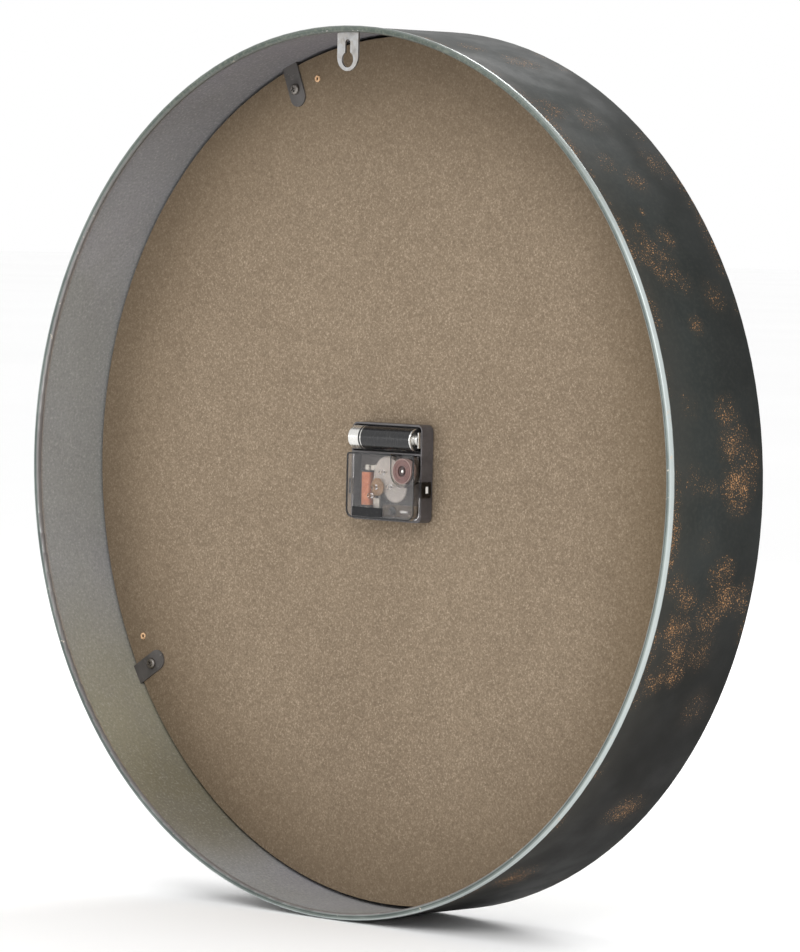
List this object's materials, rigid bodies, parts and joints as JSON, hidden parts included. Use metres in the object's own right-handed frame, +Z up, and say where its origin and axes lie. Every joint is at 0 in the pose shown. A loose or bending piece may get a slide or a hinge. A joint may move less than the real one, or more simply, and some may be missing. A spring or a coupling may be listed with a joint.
{
  "type": "wall clock",
  "caption": "Round wall clock: deep distressed sheet-metal drum with a recessed board, open-back quartz movement, Roman dial, hands and glass.",
  "frame": {"origin": "on the hands' axis at half the drum's depth, which is the centre of the clock", "axes": "front (glass and dial) faces -Y, the wall side faces +Y, +Z up through twelve o'clock, +X to three o'clock"},
  "size_m": [0.508, 0.078, 0.508],
  "materials": {
    "drum_paint": "matte dark green-black paint, worn to rust brown in patches",
    "clip_paint": "matte dark grey paint",
    "zinc_screw": "bright zinc",
    "galvanised": "dull galvanised",
    "hardboard": "matte pressed fibre",
    "dial_paper": "matte, aged",
    "dial_ink": "matte printed ink",
    "spacer_plastic": "matte",
    "clear_glass": "clear",
    "hand_black": "matte black paint",
    "brass": "plain turned",
    "black_rubber": "matte",
    "black_case": "fine satin",
    "clear_cover": "clear, lightly scuffed",
    "label_film": "satin film",
    "cell_steel": "bright nickel",
    "cell_jacket": "gloss film",
    "contact_plate": "nickel plated",
    "plate_plastic": "satin",
    "white_wheel": "natural acetal",
    "amber_wheel": "amber acetal",
    "magnet": "sintered",
    "stator_iron": "soft iron lamination",
    "bobbin_black": "satin",
    "copper_wire": "enamelled copper winding",
    "board_brown": "bare resin board with tinned pads",
    "epoxy_black": "cured epoxy",
    "pin_steel": "bright pin",
    "knob_red": "satin"
  },
  "bodies": {
    "case": {"drum_band": "drum_paint", "front_ring": "drum_paint", "panel_clips": "clip_paint", "clip_screws": "zinc_screw", "keyhole_hanger": "galvanised", "back_board": "hardboard", "dial_face": "dial_paper", "dial_numerals": "dial_ink", "minute_track": "dial_ink", "spacer_ring": "spacer_plastic", "glass_lens": "clear_glass", "threaded_bush": "brass", "brass_washer": "brass", "hex_nut": "brass", "rubber_washer": "black_rubber", "movement_base": "black_case", "movement_cover": "clear_cover", "blank_label": "label_film", "positive_contact": "contact_plate", "negative_contact": "contact_plate", "contact_spring": "contact_plate", "middle_plate": "plate_plastic", "stator": "stator_iron", "coil_core": "stator_iron", "coil_bobbin": "bobbin_black", "coil_winding": "copper_wire", "circuit_board": "board_brown", "chip_blob": "epoxy_black", "quartz_crystal": "cell_steel"},
    "minute_hand": {"minute_hand": "hand_black", "hand_cap_nut": "brass", "cannon_pinion": "brass", "centre_wheel": "white_wheel"},
    "hour_hand": {"hour_hand": "hand_black", "hour_collet": "brass", "hour_wheel": "white_wheel"},
    "minute_wheel": {"minute_wheel": "white_wheel"},
    "setting_knob": {"setting_knob": "knob_red", "setting_shaft": "pin_steel"},
    "third_wheel": {"third_wheel": "white_wheel"},
    "seconds_wheel": {"seconds_wheel": "white_wheel"},
    "intermediate_wheel": {"intermediate_wheel": "amber_wheel"},
    "rotor": {"rotor_pinion": "amber_wheel", "rotor_magnet": "magnet"},
    "battery": {"battery_cell": "cell_steel", "battery_jacket": "cell_jacket"}
  },
  "joints": [
    {"name": "minute_hand_spin", "type": "hinge", "parent": "case", "child": "minute_hand", "pos_m": [0, 0, 0], "axis": [0, 1, 0], "continuous": true},
    {"name": "hour_hand_spin", "type": "hinge", "parent": "case", "child": "hour_hand", "pos_m": [0, 0, 0], "axis": [0, 1, 0], "continuous": true},
    {"name": "minute_wheel_spin", "type": "hinge", "parent": "case", "child": "minute_wheel", "pos_m": [-0.0082, 0, -0.00371], "axis": [0, 1, 0], "continuous": true},
    {"name": "setting_knob_spin", "type": "hinge", "parent": "case", "child": "setting_knob", "pos_m": [-0.017, 0, 0.0013], "axis": [0, 1, 0], "continuous": true},
    {"name": "third_wheel_spin", "type": "hinge", "parent": "case", "child": "third_wheel", "pos_m": [-0.006, 0, -0.00825], "axis": [0, 1, 0], "continuous": true},
    {"name": "seconds_wheel_spin", "type": "hinge", "parent": "case", "child": "seconds_wheel", "pos_m": [0, 0, 0], "axis": [0, 1, 0], "continuous": true},
    {"name": "intermediate_wheel_spin", "type": "hinge", "parent": "case", "child": "intermediate_wheel", "pos_m": [0.00551, 0, -0.00878], "axis": [0, 1, 0], "continuous": true},
    {"name": "rotor_spin", "type": "hinge", "parent": "case", "child": "rotor", "pos_m": [0.0087, 0, -0.01385], "axis": [0, 1, 0], "continuous": true},
    {"name": "battery_slide", "type": "slide", "parent": "case", "child": "battery", "axis": [0, 1, 0], "range_m": [0, 0.03]}
  ],
  "couplings": [
    {"joint": "hour_hand_spin", "follows": "minute_hand_spin", "ratio": 0.083333},
    {"joint": "minute_wheel_spin", "follows": "minute_hand_spin", "ratio": -0.33333},
    {"joint": "setting_knob_spin", "follows": "minute_hand_spin", "ratio": 0.66667},
    {"joint": "third_wheel_spin", "follows": "minute_hand_spin", "ratio": -8},
    {"joint": "seconds_wheel_spin", "follows": "minute_hand_spin", "ratio": 60},
    {"joint": "intermediate_wheel_spin", "follows": "minute_hand_spin", "ratio": -360},
    {"joint": "rotor_spin", "follows": "minute_hand_spin", "ratio": 1800}
  ]
}
